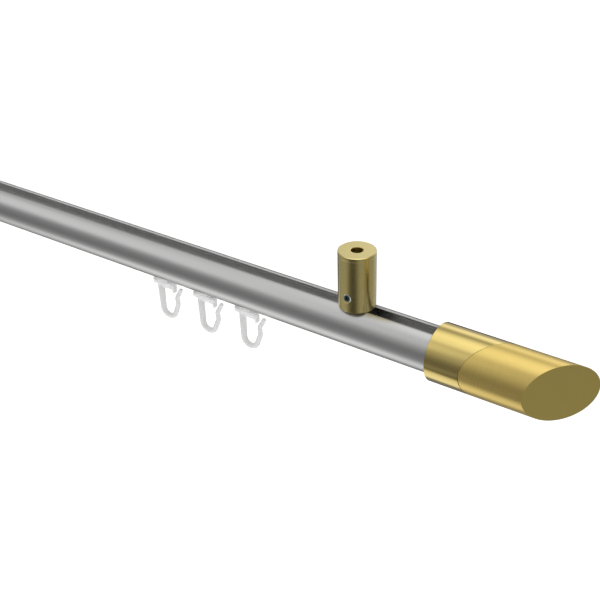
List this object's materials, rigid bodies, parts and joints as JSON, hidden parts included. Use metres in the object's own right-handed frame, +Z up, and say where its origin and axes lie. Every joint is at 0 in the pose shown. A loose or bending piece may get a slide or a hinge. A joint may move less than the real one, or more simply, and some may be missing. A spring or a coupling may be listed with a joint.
{
  "type": "curtain track",
  "caption": "Ceiling-mounted round rail with a lower channel for hooked gliders, turned brass-coloured posts and slant-cut end finials.",
  "frame": {"origin": "on the ceiling plane, midway between the two ceiling holes of the posts", "axes": "+X along the rail towards the end that carries the close group of gliders, +Y away from the room side of the posts' grub screws, +Z up into the ceiling"},
  "size_m": [0.896, 0.025, 0.0677],
  "materials": {
    "rail_aluminium": "satin anodised",
    "brass": "satin, brass-coloured",
    "steel": "bright zinc-plated steel",
    "glider_plastic": "milky white moulded plastic"
  },
  "bodies": {
    "track": {"finial_grub_screw_left": "steel", "finial_grub_screw_right": "steel", "finial_joint_screw_left": "steel", "finial_joint_screw_right": "steel", "finial_sleeve_left": "brass", "finial_sleeve_right": "brass", "finial_tip_left": "brass", "finial_tip_right": "brass", "post_grub_screw_left": "steel", "post_grub_screw_right": "steel", "post_left": "brass", "post_right": "brass", "post_spigot_left": "steel", "post_spigot_right": "steel", "rail": "rail_aluminium", "slot_nut_left": "steel", "slot_nut_right": "steel"},
    "glider_01": {"glider_01": "glider_plastic"},
    "glider_02": {"glider_02": "glider_plastic"},
    "glider_03": {"glider_03": "glider_plastic"},
    "glider_04": {"glider_04": "glider_plastic"},
    "glider_05": {"glider_05": "glider_plastic"},
    "glider_06": {"glider_06": "glider_plastic"},
    "glider_07": {"glider_07": "glider_plastic"},
    "glider_08": {"glider_08": "glider_plastic"}
  },
  "joints": [
    {"name": "glider_01_slide", "type": "slide", "parent": "track", "child": "glider_01", "axis": [1, 0, 0], "range_m": [-0.0921, 0.0727]},
    {"name": "glider_02_slide", "type": "slide", "parent": "track", "child": "glider_02", "axis": [1, 0, 0], "range_m": [-0.0727, 0.0727]},
    {"name": "glider_03_slide", "type": "slide", "parent": "track", "child": "glider_03", "axis": [1, 0, 0], "range_m": [-0.0727, 0.0727]},
    {"name": "glider_04_slide", "type": "slide", "parent": "track", "child": "glider_04", "axis": [1, 0, 0], "range_m": [-0.0727, 0.0727]},
    {"name": "glider_05_slide", "type": "slide", "parent": "track", "child": "glider_05", "axis": [1, 0, 0], "range_m": [-0.0727, 0.1449]},
    {"name": "glider_06_slide", "type": "slide", "parent": "track", "child": "glider_06", "axis": [1, 0, 0], "range_m": [-0.1449, 0.0071]},
    {"name": "glider_07_slide", "type": "slide", "parent": "track", "child": "glider_07", "axis": [1, 0, 0], "range_m": [-0.0071, 0.0071]},
    {"name": "glider_08_slide", "type": "slide", "parent": "track", "child": "glider_08", "axis": [1, 0, 0], "range_m": [-0.0071, 0.0917]}
  ]
}
